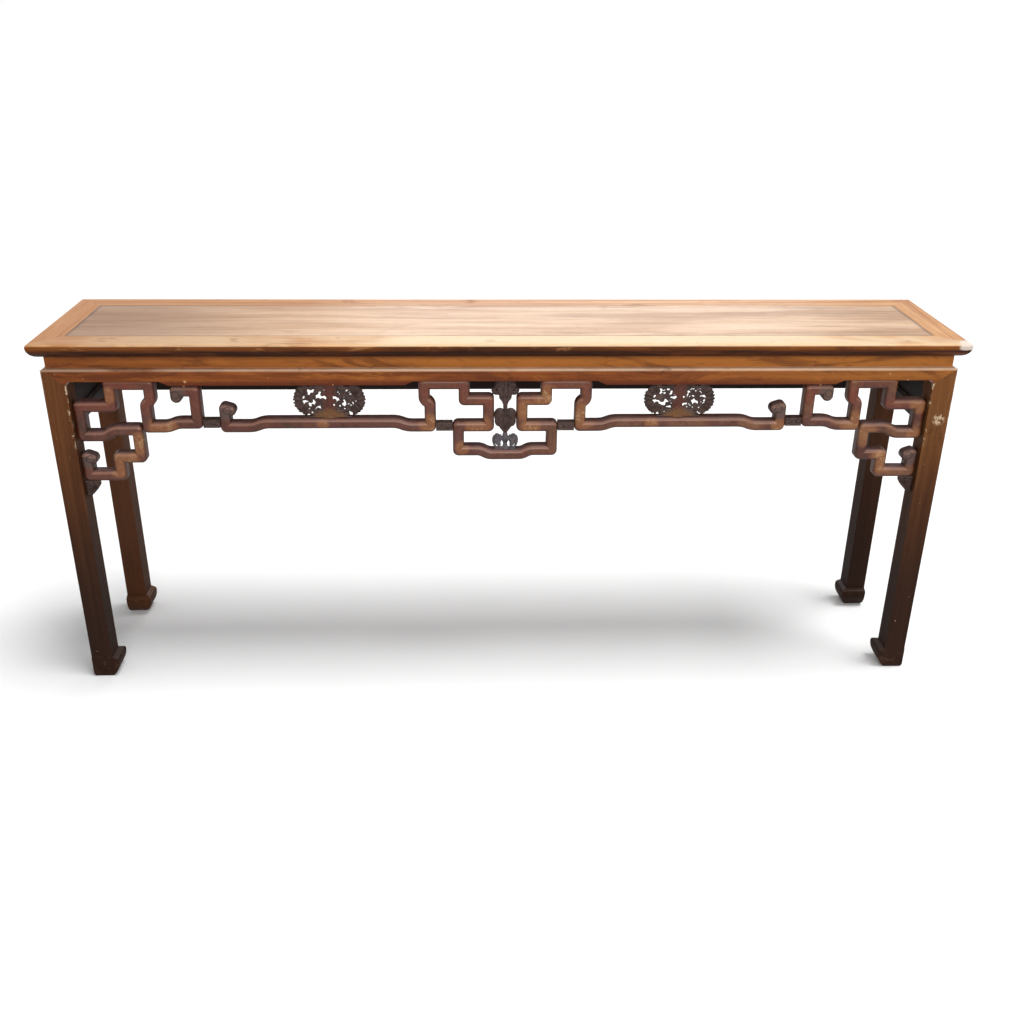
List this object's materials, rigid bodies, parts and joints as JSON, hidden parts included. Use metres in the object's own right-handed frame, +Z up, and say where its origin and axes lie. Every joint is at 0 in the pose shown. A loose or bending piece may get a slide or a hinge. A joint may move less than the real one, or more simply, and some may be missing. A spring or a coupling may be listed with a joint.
{
  "type": "altar table",
  "caption": "Long narrow Chinese altar table: framed panel top, recessed waist, straight legs on inward hoof feet, and a mitred fret frieze with carved blossoms and a hanging peach ornament.",
  "frame": {"origin": "on the floor, under the centre of the table top", "axes": "+X along the length, to the right seen from the front; +Y from the carved front to the back; +Z up"},
  "size_m": [2.11, 0.4, 0.87],
  "materials": {
    "panel_wood": "worn, dry, greyish tan top boards with fine cracks",
    "frame_wood": "worn orange-brown frame, dark rounded edge",
    "apron_wood": "old semi-gloss red-brown lacquer, rubbed at the edges",
    "leg_wood": "old semi-gloss dark brown lacquer, chipped on the arrises",
    "dark_wood": "unpolished darkened wood",
    "fret_wood": "worn red-brown lacquer with dusty upper faces",
    "carved_wood": "dark carved wood with dust in the hollows",
    "pin_wood": "bare hidden hardwood"
  },
  "bodies": {
    "root": {"apron_back": "apron_wood", "apron_front": "apron_wood", "apron_left": "apron_wood", "apron_right": "apron_wood", "batten_1": "dark_wood", "batten_2": "dark_wood", "batten_3": "dark_wood", "batten_4": "dark_wood", "blossom_left": "carved_wood", "blossom_right": "carved_wood", "bracket_left": "carved_wood", "bracket_right": "carved_wood", "carved_bat": "carved_wood", "carved_cloud": "carved_wood", "carved_peach": "carved_wood", "carved_ribbon": "carved_wood", "centre_fret_left": "fret_wood", "centre_fret_right": "fret_wood", "corner_fret_lower_left": "fret_wood", "corner_fret_lower_right": "fret_wood", "corner_fret_upper_left": "fret_wood", "corner_fret_upper_right": "fret_wood", "fret_dowels": "pin_wood", "fret_splines": "pin_wood", "frieze_board_back": "dark_wood", "frieze_board_left": "dark_wood", "frieze_board_right": "dark_wood", "hook_fret_left": "fret_wood", "hook_fret_right": "fret_wood", "leg_back_left": "leg_wood", "leg_back_right": "leg_wood", "leg_front_left": "leg_wood", "leg_front_right": "leg_wood", "link_inner_left": "carved_wood", "link_inner_right": "carved_wood", "link_outer_left": "carved_wood", "link_outer_right": "carved_wood", "long_bar_left": "fret_wood", "long_bar_right": "fret_wood", "panel_board_back": "panel_wood", "panel_board_front": "panel_wood", "panel_board_middle": "panel_wood", "pendant_bar": "fret_wood", "stretcher_back": "dark_wood", "stretcher_left": "dark_wood", "stretcher_right": "dark_wood", "top_end_left": "frame_wood", "top_end_right": "frame_wood", "top_rail_back": "frame_wood", "top_rail_front": "frame_wood", "waist_back": "apron_wood", "waist_front": "apron_wood", "waist_left": "apron_wood", "waist_right": "apron_wood"}
  },
  "joints": []
}
